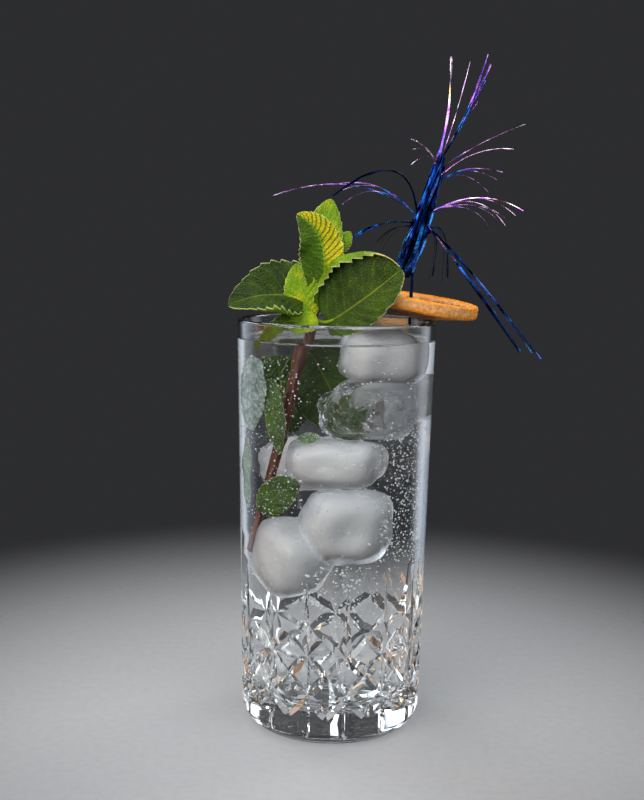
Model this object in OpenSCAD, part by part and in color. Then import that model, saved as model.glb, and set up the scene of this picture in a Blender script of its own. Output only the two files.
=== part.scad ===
// Mojito in a tall cut glass, with a mint sprig, a dried orange slice and a foil pick.
// Millimetres. The origin is the centre of the foot on the table, +Z is up and -Y is the front.

/* [Glass] */
// Height of the glass
glass_h = 150; // [125:1:180]
// Outside diameter at the rim
rim_d = 72.4; // [60:0.2:88]
// Outside diameter of the straight body, carried down to the table
base_d = 66.6; // [55:0.2:80]
// Wall at the rim
rim_wall = 2.2; // [1.8:0.1:2.8]
// Wall just above the floor
foot_wall = 3.8; // [3.2:0.1:4.8]
// Thickness of the solid base
floor_t = 10; // [8:0.5:14]
// Radius of the rounded heel
heel_r = 6.4; // [5:0.2:8]
// Radius inside, where the wall meets the floor
well_r = 9; // [6:0.5:12]

/* [Cut pattern] */
// Number of grooves round the glass
columns = 15; // [12:1:18]
// Height of the lowest points of the diamonds
diamond_z = 12; // [10:0.5:14]
// Height of one diamond
diamond_h = 14.4; // [12:0.2:17]
// Rows of diamonds
diamond_rows = 2; // [1:1:3]
// Depth of the diagonal cuts where they cross
cut_depth = 1; // [0.6:0.1:1.2]
// Opening angle of every V cut
cut_angle = 115; // [90:5:130]
// Height where the upright grooves run out
groove_top_z = 62; // [55:1:80]
// Greatest depth of the upright grooves
groove_depth = 1.25; // [0.8:0.05:1.4]
// Depth of the short flutes under the diamonds
flute_depth = 0.9; // [0.5:0.1:1.2]
// Turn of the pattern from the front
pattern_turn = -2.5; // [-12:0.5:12]

/* [Drink] */
// Drop from the rim to the level of the drink
fill_drop = 7.5; // [6:0.5:20]
// Room left between the drink and the stem
stem_gap = 0.05; // [0:0.05:0.3]

/* [Mint] */
// Diameter of the stem at the crown
stem_top_d = 3; // [2:0.1:4]
// Diameter of the stem at its cut end
stem_end_d = 2.3; // [1.5:0.1:3]
// Height of the stem's cut end above the table
stem_end_z = 66; // [50:1:90]
// Thickness of a leaf
leaf_t = 0.75; // [0.6:0.05:1.2]
// Diameter of the bud that the stalks leave
bud_d = 4.6; // [4:0.1:6]
// Diameter of a leaf's stalk
stalk_d = 1.5; // [1.2:0.1:2]
// Depth of the notches round a leaf
tooth = 0.4; // [0:0.1:0.8]

/* [Orange slice] */
// Diameter of the dried slice
slice_d = 56; // [46:1:66]
// Thickness of the slice at its peel
slice_t = 4.4; // [3:0.1:5.4]
// How far the dried flesh sinks below the peel
flesh_sink = 0.6; // [0.2:0.1:0.9]
// How far the slice is dished
slice_dish = 3.8; // [0:0.1:5]
// Slope of the slice, down to the right
slice_tilt = 9; // [4:0.5:14]
// Number of segments in the slice
segments = 10; // [8:1:12]
// Room between the slice and the rim that it lies on
slice_gap = 0.1; // [0.05:0.05:0.3]

/* [Pick] */
// Diameter of the stick
stick_d = 1.4; // [1:0.1:2]
// Length of the stick
stick_l = 36; // [30:1:50]
// Room round the stick in the slice and in the foil
stick_gap = 0.1; // [0.05:0.05:0.2]
// Greatest diameter of the rolled foil
roll_d = 7.4; // [5:0.2:9]
// Thickness of a foil strand
foil_t = 0.6; // [0.4:0.1:0.8]

/* [Hidden] */
$fn = 96;

rim_r = rim_d / 2;
step = 360 / columns;
half_h = diamond_h / 2;
fill_z = glass_h - fill_drop;
cross_z = diamond_z + half_h;
groove_z = diamond_z + diamond_h * diamond_rows - half_h;
OUT = 3;
OVERLAP = 0.4;
ARC = 8;

// ---- helpers ----

function unit(v) = v / norm(v);
function mix(a, b, t) = a + (b - a) * t;
function bezier(a, b, c, t) = (1 - t) * (1 - t) * a + 2 * t * (1 - t) * b + t * t * c;
function slope(a, b, c, t) = unit((1 - t) * (b - a) + t * (c - b));
function arc(centre, r, from, to, n = ARC) =
    [for (i = [0:n]) centre + r * [cos(mix(from, to, i / n)), sin(mix(from, to, i / n))]];

// Radii of the body outside and of the well inside, at a height
function body_r(z) = mix(base_d / 2, rim_r, z / glass_h);
function well_wall(z) = mix(foot_wall, rim_wall, (z - floor_t) / (glass_h - floor_t));
function inner_r(z) = body_r(z) - well_wall(z);

// A place above the drink: shares of the rim's radius sideways, millimetres over the rim upwards
function spot(p) = [p[0] * rim_r, p[1] * rim_r, glass_h + p[2]];

// Sides and caps of a closed tube whose points come ring by ring
function tube_faces(rings, n) = concat(
    [[for (k = [0:n - 1]) k]],
    [for (i = [0:rings - 2], k = [0:n - 1]) let (a = i * n, b = a + n, j = (k + 1) % n)
        each [[a + k, b + k, b + j], [a + k, b + j, a + j]]],
    [[for (k = [n - 1:-1:0]) (rings - 1) * n + k]]);

// ---- glass ----

function well_outline() = concat(
    [[0, floor_t]],
    arc([inner_r(floor_t + well_r) - well_r, floor_t + well_r], well_r, -90, 0));

module glass_body() {
    lip = rim_wall / 2;
    rotate_extrude() polygon(concat(
        arc([body_r(heel_r) - heel_r, heel_r], heel_r, -90, 0),
        arc([rim_r - lip, glass_h - lip], lip, 0, 180),
        [for (i = [ARC:-1:0]) well_outline()[i + 1]],
        [[0, floor_t], [0, 0]]));
}

// A V-shaped bar along Z: its edge is on the axis and it opens towards +X
module v_bar(length) {
    half_w = OUT * tan(cut_angle / 2);
    translate([0, 0, -length / 2]) linear_extrude(length)
        polygon([[0, 0], [OUT, -half_w], [OUT, half_w]]);
}

// One straight cut between two crossings, at a turn and a height, leaning to one side
module diagonal_cut(turn, z, side) {
    r = (body_r(z) - cut_depth) * cos(step / 4);
    run = 2 * (body_r(z) - cut_depth) * sin(step / 4);
    rotate([0, 0, turn]) translate([r, 0, z]) rotate([-side * atan(run / half_h), 0, 0])
        v_bar(norm([run, half_h]) + OVERLAP);
}

// A V cut along the body from one height and depth to another
module upright_cut(z0, depth0, z1, depth1) {
    x0 = body_r(z0) - depth0;
    x1 = body_r(z1) - depth1;
    translate([(x0 + x1) / 2, 0, (z0 + z1) / 2]) rotate([0, atan((x1 - x0) / (z1 - z0)), 0])
        v_bar(norm([x1 - x0, z1 - z0]));
}

module column_cuts() {
    for (row = [0:2 * diamond_rows - 1], side = [-1, 1])
        diagonal_cut(side * step / 4, diamond_z + (row + 0.5) * half_h, side * (row % 2 == 0 ? 1 : -1));
    rotate([0, 0, step / 2]) {
        upright_cut(groove_z, groove_depth, groove_top_z, 0);
        upright_cut(cross_z, cut_depth, groove_z, groove_depth);
        upright_cut(-OVERLAP, flute_depth, cross_z - cut_depth, flute_depth);
    }
}

module glass() {
    color([0.86, 0.9, 0.92, 0.45]) difference() {
        glass_body();
        rotate([0, 0, pattern_turn - 90])
            for (k = [0:columns - 1]) rotate([0, 0, k * step]) column_cuts();
    }
}

// ---- mint ----

CROWN = [-0.22, -0.22, 4];
STEM_BEND = [-0.45, -0.38, -50];
STEM_END_TURN = 202;
STEM_STEPS = 12;
STEM_WALL_ROOM = 0.6;
STEM_SIDES = 12;

function stem_end() = let (r = inner_r(stem_end_z) - stem_end_d / 2 - STEM_WALL_ROOM)
    [r * cos(STEM_END_TURN), r * sin(STEM_END_TURN), stem_end_z];
function stem_at(t) = bezier(spot(CROWN), spot(STEM_BEND), stem_end(), t);

function stem_ring(t, gap) = let (r = mix(stem_end_d, stem_top_d, t) / 2 + gap)
    [for (k = [0:STEM_SIDES - 1]) let (turn = 360 * k / STEM_SIDES)
        stem_at(1 - t) + r * [cos(turn), sin(turn), 0]];

module stem(gap = 0) {
    polyhedron([for (i = [0:STEM_STEPS]) each stem_ring(i / STEM_STEPS, gap)],
        tube_faces(STEM_STEPS + 1, STEM_SIDES));
}

// Each leaf: where it starts, where its midrib bends to, its tip, the way its face looks, its
// width on either side of the midrib, how far its halves fold up, and where along it is widest
LEAVES = [
    [[-0.22, -0.22, 3], [-0.2, -0.02, 24], [-0.08, 0.02, 43], [0.1, -1, 0.15], 6, 6, 0.1, 0.55],
    [[-0.2, -0.18, 8], [-0.02, -0.02, 18], [0.14, 0.02, 32], [-0.3, -1, 0.3], 4, 4, 0.15, 0.6],
    [[-0.22, -0.26, 3], [0.03, -0.34, 29], [-0.4, -0.4, 37], [-0.1, -1, 0.35], 7, 9, 0.25, 0.45],
    [[-0.23, -0.24, -1], [0.13, -0.46, 2], [0.62, -0.69, 19], [-0.15, -1, 0.3], 9, 21, 0.12, 0.5],
    [[-0.24, -0.25, 5], [-0.55, -0.33, 11], [-1.06, -0.34, 5], [0, -0.5, 0.85], 10, 12, 0.5, 0.3],
    [[-0.22, -0.25, 3], [-0.36, -0.36, 3], [-0.47, -0.4, -3], [-0.2, -1, 0.3], 6, 6, 0.15, 0.5],
    [[-0.22, -0.2, 2], [-0.32, -0.2, 13], [-0.44, -0.18, 22], [0, -1, 0.1], 6, 6.5, 0.1, 0.5],
    [[-0.24, -0.28, 2], [-0.52, -0.46, 3], [-0.62, -0.52, -6], [-0.3, -1, 0.2], 4.5, 4.5, 0.2, 0.45]
];
LEAF_STEPS = 12;
LEAF_SIDES = 3;
LEAF_START = 0.14;
STALK_AT = 0.03;
STALK_END = 0.18;
// Where a leaf's blade begins, its least width as a share and in millimetres, and how full it is
BLADE_START = 0.08;
LEAST_SHARE = 0.07;
LEAST_WIDE = 0.5;
FULLNESS = 0.75;

// Half width of a leaf along its midrib, from a short stalk to a point, as a share
function leaf_shape(t, peak) =
    let (along = max(0, (t - BLADE_START) / (1 - BLADE_START)))
    max(LEAST_SHARE, pow(sin(180 * pow(along, ln(0.5) / ln(peak))), FULLNESS));

function leaf_point(leaf, i, j, lift) = let (
    t = mix(LEAF_START, 1, i / LEAF_STEPS),
    u = j / LEAF_SIDES,
    mid = bezier(spot(leaf[0]), spot(leaf[1]), spot(leaf[2]), t),
    along = slope(spot(leaf[0]), spot(leaf[1]), spot(leaf[2]), t),
    side = unit(cross(leaf[3], along)),
    face = cross(along, side),
    notch = abs(u) == 1 && i % 2 == 1 ? tooth : 0,
    wide = max(LEAST_WIDE, (u > 0 ? leaf[5] : leaf[4]) * leaf_shape(t, leaf[7]) - notch),
    y = u * wide)
    mid + y * side + (leaf[6] * abs(y) + lift) * face;

module leaf(row) {
    across = 2 * LEAF_SIDES + 1;
    size = (LEAF_STEPS + 1) * across;
    last = LEAF_STEPS * across;
    points = [for (lift = [-0.5, 0.5] * leaf_t, i = [0:LEAF_STEPS], j = [-LEAF_SIDES:LEAF_SIDES])
        leaf_point(row, i, j, lift)];
    sheet = [for (i = [0:LEAF_STEPS - 1], j = [0:across - 2]) let (a = i * across + j, b = a + across)
        each [[a, b + 1, a + 1], [a, b, b + 1]]];
    edge = concat(
        [for (j = [0:across - 2]) [j, j + 1]],
        [for (i = [0:LEAF_STEPS - 1]) [i * across + across - 1, (i + 1) * across + across - 1]],
        [for (j = [across - 1:-1:1]) [last + j, last + j - 1]],
        [for (i = [LEAF_STEPS:-1:1]) [i * across, (i - 1) * across]]);
    polyhedron(points, concat(
        sheet,
        [for (f = sheet) [f[2] + size, f[1] + size, f[0] + size]],
        [for (e = edge) each [[e[1], e[0] + size, e[0]], [e[1], e[1] + size, e[0] + size]]]));
}

// Each leaf's stalk leaves the bud at the top of the stem
module stalk(row) {
    hull() {
        translate(stem_at(STALK_AT)) sphere(d = 1.3 * stalk_d, $fn = 8);
        translate(bezier(spot(row[0]), spot(row[1]), spot(row[2]), STALK_END)) sphere(d = stalk_d, $fn = 8);
    }
}

module mint_sprig() {
    color([0.35, 0.55, 0.08]) union() {
        stem();
        translate(stem_at(STALK_AT)) sphere(d = bud_d, $fn = 16);
        for (row = LEAVES) {
            leaf(row);
            stalk(row);
        }
    }
}

// ---- drink ----

module drink() {
    color([0.85, 0.9, 0.9, 0.4]) difference() {
        rotate_extrude() polygon(concat(
            well_outline(), [[inner_r(fill_z), fill_z], [0, fill_z]]));
        stem(stem_gap);
    }
}

// ---- orange slice ----

SLICE_AT = [0.68, 0.22];
PEEL_SHARE = 0.88;
TURNS_PER_SEGMENT = 4;
// The outer edge's half thickness as a share, the sink of a membrane and of the core as shares
EDGE_SHARE = 0.28;
MEMBRANE_SINK = 0.35;
CORE_SHARE = 0.2;
CORE_SINK = 0.3;
// How far the outline is from round, as a share, and how far the peel waves, in millimetres
OUTLINE_WAVE = 0.012;
OUTLINE_TURN = 40;
PEEL_WAVE = 0.5;
slice_r = slice_d / 2;

// The slice lies on the rim at its right-hand side
rest_r = norm([1 - SLICE_AT[0], SLICE_AT[1]]) * rim_r / slice_r;
slice_centre = [SLICE_AT[0] * rim_r, SLICE_AT[1] * rim_r,
    glass_h + slice_gap + (slice_t / 2 + slice_dish * (1 - rest_r * rest_r)) / cos(slice_tilt)
        + (1 - SLICE_AT[0]) * rim_r * tan(slice_tilt)];

// Half thickness at a share of the radius and a turn: full at the peel, sunk between the membranes
function slice_half_t(s, turn) = s == 1 ? EDGE_SHARE * slice_t : s > PEEL_SHARE ? slice_t / 2
    : slice_t / 2 - flesh_sink * (MEMBRANE_SINK + pow(sin(turn * segments / 2), 2))
        * (s < CORE_SHARE ? CORE_SINK : 1);

function slice_ring(s, lift) = let (n = segments * TURNS_PER_SEGMENT)
    [for (k = [0:n - 1]) let (
        turn = 360 * k / n,
        r = s * slice_r * (1 + OUTLINE_WAVE * sin(3 * turn + OUTLINE_TURN)),
        dish = slice_dish * (s * s - 1) + PEEL_WAVE * s * s * sin(2 * turn))
        [r * cos(turn), r * sin(turn), dish + lift * slice_half_t(s, turn)]];

module slice_solid() {
    n = segments * TURNS_PER_SEGMENT;
    shares = [0.12, 0.35, 0.6, 0.8, PEEL_SHARE, 0.94, 1];
    last = len(shares) - 1;
    rings = concat([for (s = shares) slice_ring(s, -1)], [for (k = [last:-1:0]) slice_ring(shares[k], 1)]);
    polyhedron([for (ring = rings) each ring], tube_faces(len(rings), n));
}

module slice_place() {
    translate(slice_centre) rotate([0, slice_tilt, 0]) children();
}

module orange_slice() {
    color([0.85, 0.5, 0.16]) difference() {
        slice_place() slice_solid();
        stick_at() cylinder(d = stick_d + 2 * stick_gap, h = 3 * stick_l, center = true);
    }
}

// ---- pick ----

PICK_AT = [0.77, 0.44, 7];
PICK_DROP = 10;
STICK_LEAN = 1.5;

module stick_at() {
    translate(spot(PICK_AT)) rotate([0, STICK_LEAN, 0]) children();
}

module pick_stick() {
    color([0.06, 0.1, 0.32]) stick_at() translate([0, 0, -PICK_DROP]) cylinder(d = stick_d, h = stick_l);
}

// The rolled foil runs up from low on the left along a gentle curve
ROLL = [[-4, -1, 8], [3.5, 0, 27], [10, 0, 53]];
ROLL_STEPS = 10;
ROLL_SIDES = 14;
// The roll's radius at its ends as a share, the depth of its creases, and how far they turn
ROLL_END = 0.42;
CREASE = 0.14;
ROLL_TWIST = 60;

// Each strand: where it leaves the roll, where it bends, where it ends, and its width
STRANDS = [
    [[8, 0, 50], [13, -2, 66], [12, -4, 88], 1.4],
    [[9, 0, 50], [15, 2, 66], [20, 6, 88], 0.8],
    [[9, 0, 50], [19, 0, 66], [26, 2, 90], 1],
    [[9, 1, 50], [18, 1, 66], [27, 0, 86], 1.6],
    [[9, 1, 48], [24, 5, 59], [42, 10, 66], 0.8],
    [[8, 0, 44], [20, -5, 57], [35, -10, 55], 0.8],
    [[7, 0, 42], [18, 5, 52], [34, 9, 48], 1],
    [[6, 0, 32], [24, -4, 43], [39, -12, 33], 1],
    [[6, 1, 33], [24, 6, 39], [36, 12, 31], 0.8],
    [[5, -1, 28], [16, -11, 14], [39, -18, -18], 1.6],
    [[5, 0, 28], [18, -5, 16], [48, -10, -21], 1.2],
    [[3, -1, 22], [11, -9, 32], [7, -10, 9], 1],
    [[4, 1, 24], [14, 3, 34], [14, 4, 8], 1],
    [[2, 0, 24], [1, -6, 62], [-30, -18, 37], 1.6],
    [[3, 0, 28], [-11, -6, 31], [-23, -12, 22], 1.6],
    [[3, 1, 26], [-6, 6, 30], [-13, 10, 21], 0.8],
    [[3, 1, 30], [-20, 5, 50], [-53, 10, 38], 0.8],
    [[2, 0, 30], [-13, -2, 47], [-31, -8, 41], 0.8],
    [[9, 0, 49], [5, -6, 56], [-2, -10, 58], 0.8]
];
STRAND_STEPS = 7;
STRAND_TAPER = 0.4;

function roll_radius(t) = roll_d / 2 * mix(ROLL_END, 1, sin(180 * pow(t, 0.55)));
function roll_ring(t) = let (mid = bezier(ROLL[0], ROLL[1], ROLL[2], t))
    [for (k = [0:ROLL_SIDES - 1]) let (
        turn = 360 * k / ROLL_SIDES + ROLL_TWIST * t,
        r = roll_radius(t) * (1 + (k % 2 == 0 ? CREASE : -CREASE)))
        mid + r * [cos(turn), sin(turn), 0]];

module foil_roll() {
    polyhedron([for (i = [0:ROLL_STEPS]) each roll_ring(i / ROLL_STEPS)],
        tube_faces(ROLL_STEPS + 1, ROLL_SIDES));
}

function strand_ring(row, t) = let (
    mid = bezier(row[0], row[1], row[2], t),
    side = unit(cross(slope(row[0], row[1], row[2], t), [0, 1, 0])) * row[3] / 2
        * (1 - STRAND_TAPER * t),
    thick = [0, foil_t / 2, 0])
    [mid - side + thick, mid + side + thick, mid + side - thick, mid - side - thick];

module strand(row) {
    polyhedron([for (i = [0:STRAND_STEPS]) each strand_ring(row, i / STRAND_STEPS)],
        tube_faces(STRAND_STEPS + 1, 4));
}

module foil_fringe() {
    color([0.08, 0.16, 0.6]) difference() {
        translate(spot(PICK_AT)) union() {
            foil_roll();
            for (row = STRANDS) strand(row);
        }
        stick_at() cylinder(d = stick_d + 2 * stick_gap, h = 2 * (stick_l - PICK_DROP), center = true);
    }
}

glass();
drink();
mint_sprig();
orange_slice();
pick_stick();
foil_fringe();
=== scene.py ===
"""Looks of a mojito in a tall cut glass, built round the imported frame.

Places and sizes are millimetres in the frame's own axes until Shape.piece() turns them into metres.
"""

import math

import bmesh
import bpy
import numpy as np
from mathutils import Matrix, Vector, noise


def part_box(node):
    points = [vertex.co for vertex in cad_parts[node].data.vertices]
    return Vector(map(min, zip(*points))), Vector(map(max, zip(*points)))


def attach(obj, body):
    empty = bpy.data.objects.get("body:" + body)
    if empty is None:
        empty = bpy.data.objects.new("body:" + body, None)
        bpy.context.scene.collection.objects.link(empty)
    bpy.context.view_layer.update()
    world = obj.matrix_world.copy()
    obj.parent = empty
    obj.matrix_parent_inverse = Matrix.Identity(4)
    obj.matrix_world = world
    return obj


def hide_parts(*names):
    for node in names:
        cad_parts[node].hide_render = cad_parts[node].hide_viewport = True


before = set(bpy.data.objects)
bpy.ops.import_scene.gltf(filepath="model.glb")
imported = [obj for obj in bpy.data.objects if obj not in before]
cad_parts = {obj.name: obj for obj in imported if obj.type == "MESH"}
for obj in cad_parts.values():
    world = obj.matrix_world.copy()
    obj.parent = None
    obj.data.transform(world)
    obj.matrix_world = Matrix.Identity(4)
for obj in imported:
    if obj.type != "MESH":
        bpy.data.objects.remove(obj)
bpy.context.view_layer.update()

MM = 0.001
TAU = 2 * math.pi
rng = np.random.default_rng(7)


# ---- sizes ----


def corners(node):
    """Lowest and highest corner of a CAD node, in millimetres."""
    low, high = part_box(node)
    return np.array(low) / MM, np.array(high) / MM


GLASS_HIGH = corners("glass")[1]
DRINK_LOW, DRINK_HIGH = corners("drink")
STICK_LOW, STICK_HIGH = corners("pick_stick")
GLASS_H = GLASS_HIGH[2]
RIM_R = GLASS_HIGH[0]
FILL_Z = DRINK_HIGH[2]
FLOOR_T = DRINK_LOW[2]
BASE_R = 33.3
RIM_WALL = 2.2
FOOT_WALL = 3.8
WELL_R = 9
HEEL_R = 6.4


def body_r(z):
    """Outer radius of the glass at a height."""
    return BASE_R + (RIM_R - BASE_R) * z / GLASS_H


def inner_r(z):
    """Inner radius of the glass at a height above the curve of its well."""
    share = (z - FLOOR_T) / (GLASS_H - FLOOR_T)
    return body_r(z) - (FOOT_WALL + (RIM_WALL - FOOT_WALL) * share)


# ---- shape helpers ----


def unit(v):
    v = np.asarray(v, float)
    return v / np.maximum(np.linalg.norm(v, axis=-1, keepdims=True), 1e-9)


def bezier(a, b, c, t):
    a, b, c, t = np.array(a, float), np.array(b, float), np.array(c, float), np.asarray(t, float)[..., None]
    return (1 - t) ** 2 * a + 2 * t * (1 - t) * b + t * t * c


def slope(a, b, c, t):
    a, b, c, t = np.array(a, float), np.array(b, float), np.array(c, float), np.asarray(t, float)[..., None]
    return unit((1 - t) * (b - a) + t * (c - b))


def smooth(x, low, high):
    s = np.clip((np.asarray(x, float) - low) / (high - low), 0, 1)
    return s * s * (3 - 2 * s)


def ripple(points, size, seed):
    """Smooth noise from -1 to 1 at each point, with lumps about size millimetres across."""
    shift = Vector((seed * 13.7, seed * 7.1, seed * 3.3))
    flat = np.asarray(points, float).reshape(-1, 3)
    values = [noise.noise(Vector(p) / size + shift) for p in flat]
    return np.array(values).reshape(np.asarray(points).shape[:-1])


def grid_faces(rows, columns, wrap=False, first=0):
    """Quads of a grid whose points come row by row. With wrap, each row closes on itself."""
    faces = []
    for i in range(rows - 1):
        for j in range(columns if wrap else columns - 1):
            k = (j + 1) % columns
            a, b = first + i * columns, first + (i + 1) * columns
            faces.append((a + j, a + k, b + k, b + j))
    return faces


class Shape:
    """Points and faces that are joined into one piece, with a UV place and some values at each point."""

    def __init__(self, *values):
        self.points, self.faces, self.uv = [], [], []
        self.values = {name: [] for name in values}
        self.count = 0

    def add(self, points, faces, uv=None, **values):
        points = np.asarray(points, float).reshape(-1, 3)
        self.faces += [tuple(v + self.count for v in face) for face in faces]
        self.points.append(points)
        self.uv.append(np.zeros((len(points), 2)) if uv is None else np.asarray(uv, float).reshape(-1, 2))
        for name, rows in self.values.items():
            rows.append(np.broadcast_to(np.asarray(values.get(name, 0.0), float).ravel(), (len(points),)))
        self.count += len(points)

    def closed_rings(self, rings, **values):
        """A closed tube or bowl from rings of points, capped by a point at the middle of each end ring."""
        rings = np.asarray(rings, float)
        rows, columns = rings.shape[:2]
        points = np.concatenate([rings.reshape(-1, 3), [rings[0].mean(0)], [rings[-1].mean(0)]])
        first, last = rows * columns, rows * columns + 1
        faces = grid_faces(rows, columns, wrap=True)
        faces += [(first, (j + 1) % columns, j) for j in range(columns)]
        top = (rows - 1) * columns
        faces += [(last, top + j, top + (j + 1) % columns) for j in range(columns)]
        across, along = np.meshgrid(np.linspace(0, 1, columns), np.linspace(0, 1, rows))
        uv = np.concatenate([np.stack([along, across], -1).reshape(-1, 2), [[0, 0.5]], [[1, 0.5]]])
        spread = {}
        for name, value in values.items():
            value = np.asarray(value, float)
            if value.ndim == 2:
                value = np.concatenate([value.ravel(), [value[0].mean()], [value[-1].mean()]])
            spread[name] = value
        self.add(points, faces, uv, **spread)

    def sheet(self, middle, normal, thickness, uv, **values):
        """A thin closed sheet on both sides of a grid of points."""
        rows, columns = middle.shape[:2]
        size = rows * columns
        offset = normal * (np.asarray(thickness)[..., None] / 2)
        points = np.concatenate([(middle - offset).reshape(-1, 3), (middle + offset).reshape(-1, 3)])
        faces = [face[::-1] for face in grid_faces(rows, columns)] + grid_faces(rows, columns, first=size)
        edge = list(range(columns))
        edge += [i * columns + columns - 1 for i in range(1, rows)]
        edge += [(rows - 1) * columns + j for j in range(columns - 2, -1, -1)]
        edge += [i * columns for i in range(rows - 2, 0, -1)]
        for a, b in zip(edge, edge[1:] + edge[:1]):
            faces.append((a, b, b + size, a + size))
        twice = {}
        for name, value in values.items():
            twice[name] = np.concatenate([np.ravel(value)] * 2) if np.ndim(value) else value
        self.add(points, faces, np.concatenate([uv.reshape(-1, 2)] * 2), **twice)

    def piece(self, name, material, slot, node=None, sharp=None):
        mesh = bpy.data.meshes.new(name)
        mesh.from_pydata((np.concatenate(self.points) * MM).tolist(), [], self.faces)
        work = bmesh.new()
        work.from_mesh(mesh)
        bmesh.ops.recalc_face_normals(work, faces=work.faces)
        work.to_mesh(mesh)
        work.free()
        where = np.zeros(len(mesh.loops), np.int32)
        mesh.loops.foreach_get("vertex_index", where)
        mesh.uv_layers.new(name="UVMap").data.foreach_set("uv", np.concatenate(self.uv)[where].ravel())
        for key, rows in self.values.items():
            attribute = mesh.attributes.new(key, "FLOAT", "POINT")
            attribute.data.foreach_set("value", np.concatenate(rows).astype(np.float32))
        mesh.polygons.foreach_set("use_smooth", [True] * len(mesh.polygons))
        if sharp:
            mesh.set_sharp_from_angle(angle=math.radians(sharp))
        mesh.materials.append(material)
        made = bpy.data.objects.new(name, mesh)
        bpy.context.scene.collection.objects.link(made)
        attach(made, "root")
        if node:
            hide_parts(node)
        return made


def across_path(along):
    """Two directions across a path at each of its points, carried along without turning round it."""
    first, sides = np.array([0.0, 1.0, 0.0]), []
    for direction in along:
        first = unit(first - direction * np.dot(first, direction))
        sides.append(first)
    sides = np.array(sides)
    return sides, np.cross(along, sides)


def tube_rings(path, along, radius, sides):
    """Rings round a path. radius has one value for each ring or for each point."""
    a, b = across_path(along)
    angle = np.linspace(0, TAU, sides, endpoint=False)[None, :]
    radius = np.asarray(radius, float)
    radius = np.broadcast_to(radius[:, None] if radius.ndim == 1 else radius, (len(path), sides))
    ring = a[:, None, :] * np.cos(angle)[..., None] + b[:, None, :] * np.sin(angle)[..., None]
    return path[:, None, :] + ring * radius[..., None]


# ---- material helpers ----


class Look:
    """A material with one Principled shader, and short ways to add the nodes that drive it."""

    def __init__(self, name, **sockets):
        self.material = bpy.data.materials.new(name)
        self.material.use_nodes = True
        self.tree = self.material.node_tree
        self.shader = self.tree.nodes["Principled BSDF"]
        self.output = self.tree.nodes["Material Output"]
        for key, value in sockets.items():
            self.set(key.replace("_", " "), value)

    def put(self, socket, value):
        if isinstance(value, bpy.types.NodeSocket):
            self.tree.links.new(value, socket)
        elif isinstance(value, tuple) and len(value) == 3 and socket.type == "RGBA":
            socket.default_value = (*value, 1)
        else:
            socket.default_value = value

    def set(self, name, value):
        self.put(self.shader.inputs[name], value)

    def node(self, kind, inputs=None, **settings):
        made = self.tree.nodes.new("ShaderNode" + kind)
        for key, value in settings.items():
            setattr(made, key, value)
        for key, value in (inputs or {}).items():
            self.put(made.inputs[key], value)
        return made

    def math(self, operation, a, b=0.0):
        return self.node("Math", {0: a, 1: b}, operation=operation).outputs[0]

    def value(self, name):
        return self.node("Attribute", attribute_name=name).outputs["Fac"]

    def place(self, stretch=(1, 1, 1)):
        here = self.node("TexCoord").outputs["Object"]
        return self.node("Mapping", {"Vector": here, "Scale": stretch}).outputs[0]

    def noise(self, size, detail=3.0, stretch=(1, 1, 1), rough=0.55):
        """Noise from 0 to 1 with lumps about size millimetres across."""
        inputs = {"Vector": self.place(stretch), "Scale": 1 / (size * MM),
                  "Detail": detail, "Roughness": rough}
        return self.node("TexNoise", inputs).outputs[0]

    def cell_edges(self, size):
        """How far it is to the edge of a cell, with cells about size millimetres across."""
        inputs = {"Vector": self.place(), "Scale": 1 / (size * MM)}
        return self.node("TexVoronoi", inputs, feature="DISTANCE_TO_EDGE").outputs["Distance"]

    def ease(self, value, low, high, start=0.0, end=1.0):
        inputs = {0: value, 1: low, 2: high, 3: start, 4: end}
        return self.node("MapRange", inputs, interpolation_type="SMOOTHSTEP").outputs[0]

    def mix(self, factor, a, b, kind="MIX"):
        return self.node("Mix", {0: factor, 6: a, 7: b}, data_type="RGBA", blend_type=kind).outputs[2]

    def ramp(self, value, *stops):
        made = self.node("ValToRGB", {0: value})
        elements = made.color_ramp.elements
        while len(elements) < len(stops):
            elements.new(0.5)
        for element, (where, colour) in zip(elements, stops):
            element.position, element.color = where, (*colour, 1)
        return made.outputs[0]

    def bump(self, height, distance, strength):
        inputs = {"Height": height, "Distance": distance * MM, "Strength": strength}
        self.set("Normal", self.node("Bump", inputs).outputs[0])

    def let_lamps_through(self, colour):
        """Rays that look for a lamp pass through, so what is inside the glass is lit."""
        lamp = self.node("LightPath").outputs["Is Shadow Ray"]
        passing = self.node("BsdfTransparent", {"Color": colour}).outputs[0]
        both = self.node("MixShader", {0: lamp, 1: self.shader.outputs[0], 2: passing}).outputs[0]
        self.tree.links.new(both, self.output.inputs["Surface"])


# ---- materials ----


def glass_look():
    look = Look("cut_glass", Base_Color=(0.985, 0.995, 1.0), Transmission_Weight=1.0, IOR=1.5)
    look.set("Roughness", look.ease(look.noise(9), 0.45, 0.75, 0.0, 0.035))
    look.bump(look.noise(14, 1.5), 0.35, 0.12)
    look.let_lamps_through((0.91, 0.92, 0.93))
    return look.material


def drink_look():
    look = Look("sparkling_drink", Base_Color=(0.985, 0.995, 0.99), Transmission_Weight=1.0, IOR=1.333)
    look.set("Roughness", look.ease(look.noise(6), 0.5, 0.8, 0.0, 0.03))
    look.bump(look.noise(5, 2.0), 0.25, 0.1)
    look.let_lamps_through((0.97, 0.98, 0.98))
    return look.material


def bubble_look():
    look = Look("bubble", Transmission_Weight=0.3, IOR=1.45, Roughness=0.1)
    # Painted highlight: the gas is clear, but a near-white colour with little transmission paints the bright
    # glints the bubbles show.
    look.set("Base Color", look.ramp(look.noise(1.5), (0.3, (0.82, 0.87, 0.9)), (0.7, (1.0, 1.0, 1.0))))
    look.let_lamps_through((0.95, 0.95, 0.95))
    return look.material


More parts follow.
